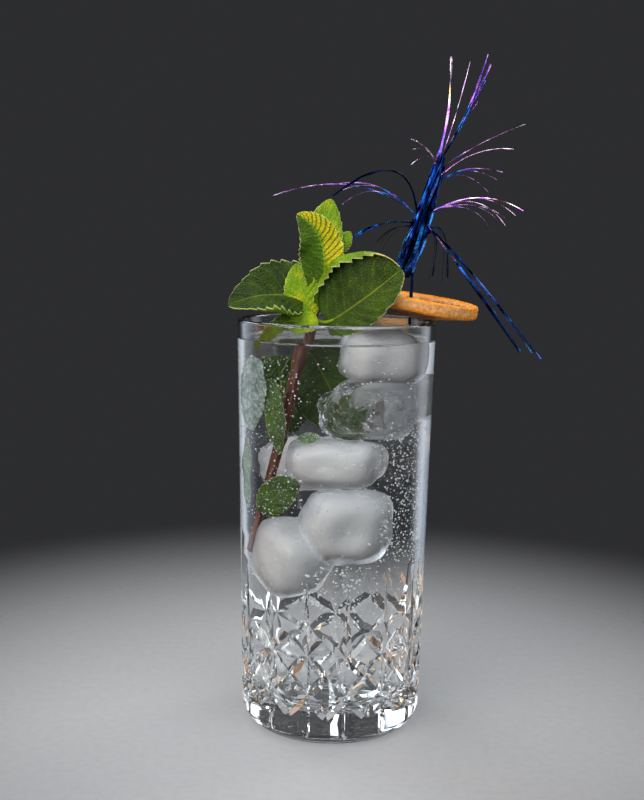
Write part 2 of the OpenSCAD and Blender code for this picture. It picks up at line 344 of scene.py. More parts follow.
def ice_look():
    """The cloudy heart of a block, and the flaws in the clear one."""
    look = Look("cloudy_ice", IOR=1.2, Specular_IOR_Level=0.2, Subsurface_Weight=1.0, Subsurface_Scale=0.011)
    look.set("Subsurface Radius", (1.0, 1.0, 1.05))
    cloud = look.noise(8, 4.0, rough=0.6)
    look.set("Base Color", look.ramp(cloud, (0.3, (0.9, 0.905, 0.93)), (0.68, (0.98, 0.98, 0.985))))
    solid = look.math("MULTIPLY", look.ease(cloud, 0.28, 0.55, 0.9, 1.0), look.value("haze"))
    look.set("Transmission Weight", look.math("SUBTRACT", 1.0, solid))
    look.set("Roughness", look.ease(cloud, 0.3, 0.7, 0.5, 0.3))
    look.bump(look.noise(3.0, 3.0), 0.2, 0.15)
    look.let_lamps_through((0.85, 0.86, 0.88))
    return look.material


def shell_look():
    """The clearer outside of a block: frosted where it is cloudy, polished where it is clear."""
    look = Look("clear_ice", Base_Color=(0.95, 0.96, 0.98), Transmission_Weight=1.0, IOR=1.31)
    frost = look.math("MULTIPLY", look.value("haze"), look.ease(look.noise(7, 3.0), 0.3, 0.65, 0.22, 0.5))
    look.set("Roughness", frost)
    look.bump(look.noise(3.4, 3.0), 0.35, 0.3)
    look.let_lamps_through((0.96, 0.965, 0.975))
    return look.material


def leaf_look():
    """Veins run from the UV places: along the midrib, then across from one edge to the other."""
    look = Look("mint_leaf", IOR=1.42, Specular_IOR_Level=0.28,
                Subsurface_Weight=0.15, Subsurface_Scale=0.001)
    look.set("Subsurface Radius", (0.6, 1.0, 0.15))
    split = look.node("SeparateXYZ", {0: look.node("UVMap", uv_map="UVMap").outputs[0]})
    along, across = split.outputs[0], split.outputs[1]
    off_middle = look.math("ABSOLUTE", look.math("SUBTRACT", look.math("MULTIPLY", across, 2.0), 1.0))
    wander = look.math("MULTIPLY", look.noise(5.0, 4.0), 1.1)
    ribs = look.value("ribs")
    rows = look.ease(ribs, 0.9, 1.0, 9.0, 20.0)
    phase = look.math("SUBTRACT", look.math("MULTIPLY", along, rows), look.math("MULTIPLY", off_middle, 2.6))
    side = look.math("PINGPONG", look.math("ADD", phase, wander), 0.5)
    side_vein = look.ease(side, 0.01, 0.055, 1.0, 0.0)
    midrib = look.ease(off_middle, 0.01, 0.036, 1.0, 0.0)
    net = look.ease(look.cell_edges(1.1), 0.0, 0.14, 1.0, 0.0)
    veins = look.math("MAXIMUM", midrib, look.math("MULTIPLY", side_vein, look.ease(ribs, 0, 1, 0.45, 1.0)))
    # Painted shade and light: this value is partly the leaf's own green and partly painted, dark on a half in
    # shade and yellow on a half with light shining through.
    tone = look.math("ADD", look.value("tone"), look.ease(look.noise(5.0), 0.2, 0.8, -0.13, 0.13))
    blade = look.ramp(
        tone,
        (0.0, (0.007, 0.022, 0.001)),
        (0.3, (0.03, 0.072, 0.0015)),
        (0.55, (0.075, 0.165, 0.002)),
        (0.78, (0.17, 0.31, 0.003)),
        (1.0, (0.6, 0.5, 0.006)),
    )
    net_share = look.math("MULTIPLY", net, look.ease(tone, 0.1, 0.7, 0.05, 0.22))
    blade = look.mix(net_share, blade, (0.2, 0.32, 0.008))
    groove = look.math("MULTIPLY", look.ease(ribs, 0.9, 1.0), look.ease(side, 0.2, 0.42))
    blade = look.mix(look.math("MULTIPLY", groove, 0.8), blade, (0.035, 0.1, 0.002))
    vein_share = look.math("MULTIPLY", veins, look.ease(tone, 0.0, 0.6, 0.22, 0.42))
    blade = look.mix(vein_share, blade, (0.34, 0.42, 0.02))
    blade = look.mix(look.ease(off_middle, 0.95, 1.0, 0.0, 0.7), blade, (0.55, 0.62, 0.25))
    worn_share = look.math("MULTIPLY", look.value("worn"), look.ease(look.noise(2.0), 0.35, 0.6))
    blade = look.mix(worn_share, blade, (0.78, 0.58, 0.25))
    # Painted reflection: a whitish grey mixed over the green where a leaf sunk in the drink shows a silvery
    # sheen.
    frosted = look.mix(look.ease(look.noise(1.6, 5.0), 0.35, 0.7), (0.2, 0.32, 0.3), (0.62, 0.7, 0.72))
    look.set("Base Color", look.mix(look.value("silver"), blade, frosted))
    look.set("Roughness", look.ease(look.noise(1.2), 0.3, 0.7, 0.36, 0.58))
    dents = look.math("MULTIPLY", look.math("MAXIMUM", veins, net), 0.7)
    relief = look.math("SUBTRACT", look.noise(0.9, 3.0), dents)
    look.bump(relief, 0.4, 0.75)
    return look.material


def stem_look():
    look = Look("mint_stem", Subsurface_Weight=0.08, Subsurface_Scale=0.001)
    streak = look.noise(1.6, 4.0, stretch=(1, 1, 0.12))
    look.set("Base Color", look.ramp(streak, (0.3, (0.03, 0.007, 0.003)), (0.55, (0.1, 0.024, 0.009)),
                                     (0.8, (0.2, 0.07, 0.02))))
    look.set("Roughness", look.ease(streak, 0.3, 0.7, 0.35, 0.55))
    look.bump(streak, 0.25, 0.6)
    return look.material


def orange_look():
    look = Look("dried_orange", Subsurface_Weight=0.1, Subsurface_Scale=0.0015, IOR=1.42)
    look.set("Subsurface Radius", (1.0, 0.4, 0.15))
    fleck = look.noise(1.3, 4.0, rough=0.65)
    broad = look.noise(6.0, 2.0)
    flesh = look.ramp(fleck, (0.28, (0.16, 0.035, 0.006)), (0.5, (0.5, 0.17, 0.03)),
                      (0.72, (0.78, 0.36, 0.09)))
    pith = look.ramp(fleck, (0.3, (0.48, 0.23, 0.075)), (0.7, (0.74, 0.43, 0.17)))
    zest = look.ramp(look.math("ADD", fleck, look.math("MULTIPLY", broad, 0.3)),
                     (0.35, (0.68, 0.17, 0.004)), (0.75, (0.98, 0.36, 0.01)))
    colour = look.mix(look.value("pith"), flesh, pith)
    colour = look.mix(look.value("zest"), colour, zest)
    # Painted shade: the holes sunk in the flesh are coloured a dark brown.
    look.set("Base Color", look.mix(look.value("pit"), colour, (0.1, 0.025, 0.006)))
    look.set("Roughness", look.ease(fleck, 0.3, 0.7, 0.4, 0.68))
    look.bump(look.noise(0.7, 4.0), 0.3, 0.6)
    return look.material


def foil_look(name, roughness):
    """Metallised film, coloured partly by the film's own colour and partly by painted reflection: from navy
    (near black, a painted dark reflection) over blue, cyan, violet and pink to a silvery white for painted
    glints.
    """
    look = Look(name, Metallic=1.0)
    crease = look.noise(2.4, 3.0, stretch=(1, 1, 0.35))
    hue = look.math("ADD", look.value("hue"), look.ease(crease, 0.25, 0.75, -0.16, 0.16))
    look.set("Base Color", look.ramp(
        hue,
        (0.0, (0.002, 0.004, 0.018)),
        (0.2, (0.003, 0.012, 0.08)),
        (0.38, (0.006, 0.06, 0.36)),
        (0.5, (0.02, 0.3, 0.75)),
        (0.62, (0.1, 0.03, 0.42)),
        (0.8, (0.6, 0.24, 0.66)),
        (1.0, (0.9, 0.86, 0.94)),
    ))
    look.set("Roughness", look.ease(crease, 0.3, 0.7, roughness, roughness + 0.16))
    look.bump(look.noise(1.1, 3.0), 0.3, 0.4)
    return look.material


# The floor is solid nearer than the first of these and gone past the second, in metres
FLOOR_FADE = (0.05, 0.3)
FLOOR_R, FLOOR_Z, FLOOR_SIDES = 3.0, -0.0002, 128


def floor_look():
    """The floor, which fades into the plain background far from the glass."""
    look = Look("pale_floor", Specular_IOR_Level=0.3)
    grain = look.noise(3.0, 4.0)
    look.set("Base Color", look.ramp(grain, (0.3, (0.35, 0.35, 0.355)), (0.7, (0.38, 0.38, 0.385))))
    look.set("Roughness", look.ease(look.noise(1.5), 0.3, 0.7, 0.5, 0.62))
    look.bump(look.noise(0.8), 0.2, 0.15)
    away = look.node("VectorMath", {0: look.place()}, operation="LENGTH").outputs["Value"]
    look.set("Alpha", look.ease(away, *FLOOR_FADE, 1.0, 0.0))
    return look.material


LEAF, STEM, GLASS = leaf_look(), stem_look(), glass_look()
ORANGE, ICE, SHELL, DRINK, BUBBLE = orange_look(), ice_look(), shell_look(), drink_look(), bubble_look()
FOIL, STICK = foil_look("foil_film", 0.14), foil_look("stick_film", 0.28)


# ---- glass ----

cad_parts["glass"].data.materials.clear()
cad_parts["glass"].data.materials.append(GLASS)

RIBS, RIB_H = 120, 0.28


def foot_ring():
    """Fine ribs round the lowest stretch of the heel."""
    ring = Shape()
    turns = np.linspace(0, TAU, RIBS * 6, endpoint=False)
    rib = RIB_H * (0.5 + 0.5 * np.cos(turns * RIBS))
    centre_r = body_r(HEEL_R) - HEEL_R
    rows = []
    for angle, out in [(-80, -0.4), (-80, 0), (-74, 1), (-60, 1), (-54, 0), (-54, -0.4)]:
        r = HEEL_R + (rib if out == 1 else out)
        a = math.radians(angle)
        rows.append(np.stack([(centre_r + r * math.cos(a)) * np.cos(turns),
                              (centre_r + r * math.cos(a)) * np.sin(turns),
                              HEEL_R + r * math.sin(a) + 0 * turns], -1))
    rows = np.array(rows)
    rows[..., 2] = np.maximum(rows[..., 2], 0)
    count = len(turns)
    faces = grid_faces(len(rows), count, wrap=True)
    last = (len(rows) - 1) * count
    faces += [(j, last + j, last + (j + 1) % count, (j + 1) % count) for j in range(count)]
    ring.add(rows, faces)
    return ring.piece("foot_ribs", GLASS, "glass")


# ---- drink ----

INTO_WALL = 0.12
MENISCUS, MENISCUS_REACH = 1.1, 1.1
DRINK_SIDES = 192


def drink():
    """The liquid, from the well's floor up to a surface that climbs the wall a little."""
    r0 = inner_r(FLOOR_T + WELL_R) - WELL_R
    arc = np.radians(np.linspace(-90, 0, 14))
    outline = [(r0 * s, FLOOR_T - INTO_WALL) for s in (0.02, 0.35, 0.7)]
    well_r = WELL_R + INTO_WALL
    outline += [(r0 + well_r * math.cos(a), FLOOR_T + WELL_R + well_r * math.sin(a)) for a in arc]
    wall = np.linspace(FLOOR_T + WELL_R + 4, FILL_Z - 4, 18)
    outline += [(inner_r(z) + INTO_WALL, z) for z in wall]
    edge = inner_r(FILL_Z)
    outline += [(inner_r(FILL_Z + MENISCUS) + INTO_WALL, FILL_Z + MENISCUS)]
    inward = np.concatenate([np.linspace(0.1, 4, 12), np.linspace(5, edge - 0.7, 26)])
    outline += [(edge - d, FILL_Z + MENISCUS * math.exp(-d / MENISCUS_REACH)) for d in inward]
    turns = np.linspace(0, TAU, DRINK_SIDES, endpoint=False)
    rings = np.array([[(r * math.cos(a), r * math.sin(a), z) for a in turns] for r, z in outline])
    top = len(outline) - len(inward)
    calm = np.linalg.norm(rings[top:, :, :2], axis=-1) / edge
    rings[top:, :, 2] += 0.35 * ripple(rings[top:], 9, 3) * np.clip(1.4 - calm, 0, 1)
    surface = Shape()
    surface.closed_rings(rings)
    return surface.piece("drink_body", DRINK, "drink", "drink", sharp=60)


# ---- ice ----

# Each block: centre, half sizes, turn about X and Z in degrees, squareness, haze, dimple
ICE_BLOCKS = [
    [(15.5, -9, 138), (13.5, 11.5, 8.5), (8, 12), 3.8, 0.93, 0],
    [(11, -8, 119), (14, 11, 9.5), (-20, 25), 4.5, 0.12, 0],
    [(0.5, -15, 100.5), (15, 10, 7.6), (4, -6), 4.2, 0.95, 0],
    [(4.3, -15, 78), (14, 10, 13), (6, 10), 3.4, 0.97, 2.6],
    [(-12.5, -11, 65.5), (12.5, 11.5, 13), (24, 38), 3.4, 0.93, 0],
    [(12, 12, 122), (13, 11, 10), (15, 40), 3.4, 0.8, 0],
    [(-4, 14, 96), (13, 11, 10), (-18, 20), 3.2, 0.85, 0],
]
# Blocks hazier than this are cloudy and have a heart; the others are clear and have flaws
CLOUDY = 0.5
ICE_WALL_ROOM = 0.7
CORE_SIZE = 0.82
CRACKS, CRACK_STEPS, CRACK_THICK = 9, 17, 0.16


def ball(level):
    """Points and faces of a sphere of radius 1, split evenly."""
    work = bmesh.new()
    bmesh.ops.create_icosphere(work, subdivisions=level, radius=1)
    points = np.array([v.co for v in work.verts])
    faces = [tuple(v.index for v in face.verts) for face in work.faces]
    work.free()
    return points, faces


def ice_block(index, centre, half, turn, square, haze, dimple):
    """A lump between a ball and a cube, worn smooth, with its own hollows."""
    points, faces = ball(5 if haze > CLOUDY else 6)
    reach = (np.abs(points) ** square).sum(-1) ** (-1 / square)
    shaped = points * reach[:, None] * np.array(half)
    shaped += points * (1.9 * ripple(shaped, 11, index + 1) + 0.3 * ripple(shaped, 3, index + 31))[:, None]
    if haze < CLOUDY:
        facets = np.round(ripple(shaped, 6, index + 5) * 5) / 5
        shaped += points * (1.1 * facets)[:, None]
    if dimple:
        away = np.hypot((shaped[:, 0] - 1) / 6.5, shaped[:, 2] / 5)
        shaped[:, 1] += np.where(shaped[:, 1] < 0, dimple * np.exp(-away ** 2), 0)
    spin = Matrix.Rotation(math.radians(turn[1]), 3, "Z") @ Matrix.Rotation(math.radians(turn[0]), 3, "X")
    placed = shaped @ np.array(spin).T + np.array(centre)
    limit = inner_r(np.clip(placed[:, 2], FLOOR_T, FILL_Z)) - ICE_WALL_ROOM
    out = np.hypot(placed[:, 0], placed[:, 1])
    placed[:, :2] *= np.minimum(1, limit / np.maximum(out, 1e-6))[:, None]
    return placed, faces


def cracks(centre, half):
    """White crumpled flaws inside a clear block."""
    flaws = Shape("haze")
    steps = np.linspace(-1, 1, CRACK_STEPS)
    u, v = np.meshgrid(steps, steps, indexing="ij")
    for k in range(CRACKS):
        along, other = unit(rng.normal(size=3)), unit(rng.normal(size=3))
        side = unit(np.cross(along, other))
        face = np.cross(along, side)
        size = rng.uniform(2.2, 4.6)
        middle = np.array(centre) + rng.uniform(-0.52, 0.52, 3) * np.array(half)
        taper = (1 - 0.5 * np.abs(u))[..., None]
        flat = u[..., None] * along * size + v[..., None] * side * size * 0.6 * taper
        flat = flat + middle + (0.9 * ripple(flat, 2.4, k + 60))[..., None] * face
        facing = unit(np.cross(np.gradient(flat, axis=0), np.gradient(flat, axis=1)))
        flaws.sheet(flat, facing, np.full(u.shape, CRACK_THICK), np.stack([u, v], -1), haze=0.9)
    return flaws


def ice():
    """All blocks, each with its heart or its flaws. Gives back the points of each block."""
    made = []
    for index, (centre, half, turn, square, haze, dimple) in enumerate(ICE_BLOCKS):
        placed, faces = ice_block(index, centre, half, turn, square, haze, dimple)
        shell = Shape("haze")
        shell.add(placed, faces, haze=haze)
        shell.piece(f"ice_{index + 1}", SHELL, "drink")
        if haze > CLOUDY:
            middle = placed.mean(0)
            core = Shape("haze")
            swell = 1 + 0.07 * ripple(placed, 7, index + 50)
            core.add(middle + (placed - middle) * CORE_SIZE * swell[:, None], faces, haze=haze)
        else:
            core = cracks(centre, half)
        core.piece(f"ice_{index + 1}_core", ICE, "drink")
        made.append(placed)
    return made


# ---- mint ----


def spot(x, y, over):
    """A place by shares of the rim's radius sideways and millimetres over the rim."""
    return np.array([x * RIM_R, y * RIM_R, GLASS_H + over])


CROWN, STEM_BEND = spot(-0.22, -0.22, 4), spot(-0.45, -0.38, -50)
STEM_END_Z, STEM_END_TURN, STEM_END_D, STEM_TOP_D = 66, math.radians(202), 2.3, 3.0
STEM_WALL_ROOM = 0.6
STEM_END_R = inner_r(STEM_END_Z) - STEM_END_D / 2 - STEM_WALL_ROOM
STEM_END = np.array([STEM_END_R * math.cos(STEM_END_TURN), STEM_END_R * math.sin(STEM_END_TURN), STEM_END_Z])
KNOTS = (0.16, 0.46, 0.74)
BUD_AT, BUD_HALF = 0.03, (2.0, 1.9, 2.7)
STALK_START, STALK_END = 0.08, 0.24
LEAF_START, BLADE_START = 0.14, 0.08

# Each leaf: start, bend, tip (as spot() takes them), the way its face looks,
# then half width on the two sides, fold, where it is widest, dark-to-light value on the two sides
# (partly the leaf's own green, partly painted shade on a half in shade and painted light, up to yellow,
# on a half with light shining through), strength of its ribs, edge curl (side, share, degrees)
LEAVES = [
    [(-0.22, -0.22, 3), (-0.2, -0.02, 24), (-0.08, 0.02, 43), (0.1, -1, 0.15),
     7.8, 7.8, 0.1, 0.52, 0.74, 0.8, 0.5, None],
    [(-0.06, -0.04, 23), (0.02, -0.02, 26), (0.12, 0.02, 31.5), (-0.1, -1, 0.3),
     3.6, 3.6, 0.15, 0.5, 0.66, 0.72, 0.4, None],
    [(-0.22, -0.26, 3), (0.03, -0.34, 29), (-0.4, -0.4, 37), (-0.1, -1, 0.35),
     7.5, 9, 0.25, 0.45, 1.0, 0.36, 1.0, None],
    [(-0.2, -0.3, -3), (0.15, -0.5, 4), (0.6, -0.69, 19), (-0.15, -1, 0.3),
     10, 22.5, 0.12, 0.52, 0.22, 0.16, 0.3, (1, 0.7, 165)],
    [(-0.24, -0.25, 5), (-0.55, -0.33, 13), (-1.06, -0.34, 5), (0, -0.85, 0.55),
     12, 13.5, 0.5, 0.32, 0.08, 0.1, 0.35, (1, 0.74, 140)],
    [(-0.22, -0.3, 4), (-0.33, -0.38, 1), (-0.42, -0.44, -4), (-0.2, -1, 0.3),
     6.5, 6.5, 0.15, 0.5, 0.7, 0.76, 0.5, None],
    [(-0.25, -0.27, -2), (-0.35, -0.3, 7), (-0.4, -0.28, 20), (0, -1, 0.15),
     7, 6.5, 0.1, 0.5, 0.8, 0.78, 0.5, None],
    [(-0.24, -0.28, 2), (-0.56, -0.46, 2), (-0.74, -0.46, -10), (-0.3, -1, 0.2),
     3.2, 3.2, 0.2, 0.45, 0.3, 0.36, 0.5, None],
]

# The same for the leaves sunk in the drink, in plain millimetres, with how much painted
# silvery reflection the leaf gets in place of the curl
SUNKEN = [
    [(-24, -19, 141), (-29.5, -14, 127), (-27.5, -16, 111), (-0.7, -0.75, 0),
     8, 8, 0.1, 0.5, 0.4, 0.45, 0.4, 0.85],
    [(-21, -18, 134), (-20, -21, 120), (-18, -21, 104), (-0.4, -1, 0),
     3.4, 4.4, 0.3, 0.5, 0.52, 0.42, 0.4, 0.1],
    [(-10, 2, 143), (-1, 6, 130), (3, 4, 107), (-0.1, -1, 0.1),
     13, 13, 0.1, 0.45, 0.3, 0.36, 0.3, 0.05],
    [(-16, 6, 141), (-15, 10, 126), (-11, 8, 108), (0.1, -1, 0.1),
     8, 9, 0.1, 0.45, 0.4, 0.34, 0.3, 0.1],
    [(-28.5, -12, 112), (-29.5, -10, 97), (-28, -11, 82), (-0.9, -0.4, 0),
     3.5, 4, 0.1, 0.5, 0.6, 0.6, 0.3, 0.4],
    [(-24.5, -17.5, 79), (-21, -19, 88), (-10.5, -18, 95), (-0.2, -1, 0.1),
     6, 6.5, 0.1, 0.5, 0.34, 0.4, 0.5, 0.06],
    [(-12, -15.5, 107.5), (-9, -17, 110), (-4.5, -16, 110), (0, -1, 0.2),
     2, 2, 0.1, 0.5, 0.75, 0.7, 0.3, 0.3],
]
LEAF_THICK = 0.42
SUNKEN_SEED = 20
BIG_LEAF = 3
WORN_LEAVES = (3, 5)
TEETH = 11
BLUNT, BIG_LEAF_BLUNT = 0.62, 0.46
CURL_R = 1.0


def blade_share(t, peak, blunt):
    """The blade's width along the leaf as a share of its widest place. Less blunt means a fuller tip."""
    along = np.clip((t - BLADE_START) / (1 - BLADE_START), 0, 1)
    arch = np.sin(math.pi * along ** (math.log(0.5) / math.log(peak)))
    return np.maximum(0.05, np.maximum(0, arch) ** blunt)


def add_leaf(shape, seed, start, bend, tip, facing, low, high, fold, peak,
             tone_low, tone_high, ribs, curl, silver=0.0):
    """One leaf with a toothed edge, quilted between its veins. Gives back the grid of its points."""
    steps, sides = 88, 22
    t = np.linspace(LEAF_START, 1, steps + 1)
    u = np.linspace(-1, 1, 2 * sides + 1)
    mid, along = bezier(start, bend, tip, t), slope(start, bend, tip, t)
    side = unit(np.cross(np.array(facing, float), along))
    face = np.cross(along, side)
    saw = (t * TEETH) % 1
    rim = np.abs(u)[None, :] ** 5
    share = blade_share(t, peak, BIG_LEAF_BLUNT if seed == BIG_LEAF else BLUNT)[:, None]
    notch = 0.09 * rim * (1 - saw)[:, None] * (share > 0.15)
    width = np.where(u > 0, high, low)[None, :] * share * (1 - notch)
    y = u[None, :] * width
    quilt = np.abs(np.sin(math.pi * (9 * t[:, None] - 2.3 * np.abs(u)[None, :])))
    body = np.abs(u)[None, :] * (1 - 0.6 * np.abs(u)[None, :]) * share
    lift = fold * (np.sqrt(y * y + 1) - 1) + 0.9 * quilt * body
    wave = np.sin(TAU * (2.4 * t[:, None] + 0.23 * seed) + np.sign(u)[None, :])
    lift += 0.07 * width * wave * np.abs(u)[None, :] ** 2
    if curl:
        sign, where, angle = curl
        edge = where * (high if sign > 0 else low) * share
        over = np.maximum(0, sign * y - edge) * (sign * u[None, :] > 0)
        turn = np.minimum(over / CURL_R, math.radians(angle))
        rest = over - CURL_R * turn
        y = np.where(over > 0, y - sign * over + sign * (CURL_R * np.sin(turn) + rest * np.cos(turn)), y)
        lift = lift + np.where(over > 0, CURL_R * (1 - np.cos(turn)) + rest * np.sin(turn), 0)
    points = mid[:, None, :] + y[..., None] * side[:, None, :] + lift[..., None] * face[:, None, :]
    wrinkle = 0.35 if seed < SUNKEN_SEED else 1.3
    points += wrinkle * ripple(points, 7, seed + 2)[..., None] * face[:, None, :]
    normal = unit(np.cross(np.gradient(points, axis=0), np.gradient(points, axis=1)))
    normal *= np.sign((normal * face[:, None, :]).sum(-1, keepdims=True).mean()) or 1
    # The two halves get their own value, which paints shade on a half in shade and light on a lit half.
    blend = smooth(u, -0.25, 0.25)[None, :]
    tone = tone_low + (tone_high - tone_low) * blend + 0 * t[:, None]
    if curl:
        tone = np.where(over > 0, tone + 0.46, tone)
    worn = (smooth(t, 0.82, 1.0)[:, None] * smooth(np.abs(u), 0.8, 1.0)[None, :]) * (seed in WORN_LEAVES)
    uv = np.stack(np.broadcast_arrays(t[:, None], (u[None, :] + 1) / 2), -1)
    thick = LEAF_THICK * (1 - 0.5 * np.abs(u)[None, :] ** 3) + 0 * t[:, None]
    shape.sheet(points, normal, thick, uv, tone=tone, worn=worn, ribs=ribs, silver=silver)
    return points


def mint():
    """The leaves of the sprig and the sunken ones. Gives back the grids of the sunken ones."""
    leaves = Shape("tone", "worn", "ribs", "silver")
    for seed, (start, bend, tip, *rest) in enumerate(LEAVES):
        add_leaf(leaves, seed, spot(*start), spot(*bend), spot(*tip), *rest)
    leaves.piece("mint_leaves", LEAF, "mint", "mint_sprig")
    sunken = Shape("tone", "worn", "ribs", "silver")
    grids = []
    for seed, (start, bend, tip, *rest) in enumerate(SUNKEN):
        grids.append(add_leaf(sunken, seed + SUNKEN_SEED, start, bend, tip, *rest[:-1], None, rest[-1]))
    sunken.piece("sunken_mint", LEAF, "mint")
    return grids


def stem():
    """The square, ridged stem with a swelling where leaves were, the bud at its top and the stalks."""
    wood = Shape()
    t = np.linspace(0, 1, 90)
    path, along = bezier(CROWN, STEM_BEND, STEM_END, t), slope(CROWN, STEM_BEND, STEM_END, t)
    angle = np.linspace(0, TAU, 20, endpoint=False)
    knots = sum(0.42 * np.exp(-((t - k) / 0.018) ** 2) for k in KNOTS)
    radius = (STEM_TOP_D + (STEM_END_D - STEM_TOP_D) * t) / 2
    radius = (radius + 0.3 + knots)[:, None] * (1 + 0.07 * np.cos(4 * angle)[None, :])
    rings = tube_rings(path, along, radius, len(angle))
    rings += 0.1 * ripple(rings, 2, 8)[..., None]
    wood.closed_rings(rings)
    points, faces = ball(4)
    bud = bezier(CROWN, STEM_BEND, STEM_END, BUD_AT)
    wood.add(points * np.array(BUD_HALF) * (1 + 0.06 * ripple(points, 0.5, 4))[:, None] + bud, faces)
    wood.piece("mint_stem", STEM, "mint", "mint_sprig")
    stalks = Shape("tone", "worn", "ribs", "silver")
    for leaf in LEAVES:
        ends = [spot(*place) for place in leaf[:3]]
        s = np.linspace(0, 1, 14)
        stalk = bud, bezier(*ends, STALK_START), bezier(*ends, STALK_END)
        middle, direction = bezier(*stalk, s), slope(*stalk, s)
        rings = tube_rings(middle, direction, 0.95 - 0.45 * s, 12)
        stalks.closed_rings(rings, tone=0.82, ribs=0.3)
    stalks.piece("mint_stalks", LEAF, "mint", "mint_sprig")
    return path


# ---- orange slice ----

SLICE_AT, SLICE_R, SLICE_T, SLICE_DISH = (0.68, 0.22), 28.0, 4.4, 3.8
SLICE_TILT, SLICE_GAP, SEGMENTS, FLESH_SINK = math.radians(9), 0.1, 10, 0.6
OUTLINE_WAVE, OUTLINE_TURN = 0.012, math.radians(40)


def slice_centre():
    """The slice's middle, placed so that its dished underside rests on the rim."""
    rest = math.hypot(1 - SLICE_AT[0], SLICE_AT[1]) * RIM_R / SLICE_R
    over = SLICE_GAP + (SLICE_T / 2 + SLICE_DISH * (1 - rest * rest)) / math.cos(SLICE_TILT)
    over += (1 - SLICE_AT[0]) * RIM_R * math.tan(SLICE_TILT)
    return spot(*SLICE_AT, over)


def orange_slice():
    """The dried slice: sunk flesh between raised membranes, a core, and a leathery peel."""
    turns = np.linspace(0, TAU, 300, endpoint=False)
    shares = np.concatenate([np.linspace(0.01, 0.86, 52), np.linspace(0.875, 0.975, 10)])
    edge = np.linspace(90, -90, 16)
    angle_in = (turns * SEGMENTS / TAU) % 1
    membrane = np.minimum(angle_in, 1 - angle_in) * TAU / SEGMENTS
    uneven = 1 + OUTLINE_WAVE * np.sin(3 * turns + OUTLINE_TURN)
    bare = smooth(np.cos(turns), 0.72, 0.98)
    rows, pith, zest, pit = [], [], [], []

    def ring(r, z):
        return np.stack([r * np.cos(turns), r * np.sin(turns), z], -1)

    def level(s):
        return SLICE_DISH * (s * s - 1) + 0.5 * s * s * np.sin(2 * turns)

    def flat(s, lift):
        r = s * SLICE_R * uneven
        wall = np.exp(-(membrane * s * SLICE_R / 0.55) ** 2)
        core = 1 - smooth(s, 0.1, 0.16)
        peel = smooth(s, 0.85, 0.9)
        firm = np.maximum(np.maximum(wall, core), peel)
        place = ring(r, lift * 9 + 0 * r)
        sacs = ripple(place, 1.6, 6) * 0.28 + ripple(place, 4.2, 12) * 0.35
        # Holes sunk in the flesh, which are also coloured dark as painted shade.
        hole = smooth(ripple(place, 2.6, 9), 0.25, 0.55) * (1 - firm)
        half = SLICE_T / 2 - (1 - firm) * (FLESH_SINK + 0.25 - sacs) - 0.9 * hole
        half -= 0.35 * (1 - smooth(s, 0.0, 0.05)) + 0.42 * firm * np.abs(ripple(place, 2.2, 15))
        rows.append(ring(r, level(s) + lift * half))
        pith.append(np.clip(0.85 * firm, 0, 1))
        zest.append(0 * turns + 0.95 * smooth(s, 0.87, 0.95))
        pit.append(hole)

    for s in shares:
        flat(s, 1)
    for a in np.radians(edge):
        r = SLICE_R * (0.975 + 0.025 * math.cos(a)) * uneven
        place = ring(r, 3 * math.sin(a) + 0 * r)
        r = r - 0.55 * np.abs(ripple(place, 2.8, 21)) - 0.22
        z = level(1.0) + SLICE_T / 2 * math.copysign(abs(math.sin(a)) ** 0.8, math.sin(a))
        rows.append(ring(r, z))
        band = math.cos(a) ** 2.2 * (0.8 + 0.2 * np.cos(turns + 0.5))
        pith.append(np.clip(band * (1 - 0.8 * bare), 0, 1))
        zest.append(np.clip(1 - 0.92 * band + 0.8 * bare, 0, 1))
        pit.append(0 * turns)
    for s in shares[::-1]:
        flat(s, -1)
    tilt = np.array(Matrix.Rotation(SLICE_TILT, 3, "Y"))
    rings = np.array(rows) @ tilt.T + slice_centre()
    peel = Shape("pith", "zest", "pit")
    peel.closed_rings(rings, pith=np.array(pith), zest=np.array(zest), pit=np.array(pit))
    return peel.piece("dried_orange", ORANGE, "orange", "orange_slice")


# ---- pick ----

PICK_AT = spot(0.77, 0.44, 7)
ROLL = np.array([(-4, -1, 8), (3.5, 0, 27), (10, 0, 53)], float)
ROLL_D = 7.4

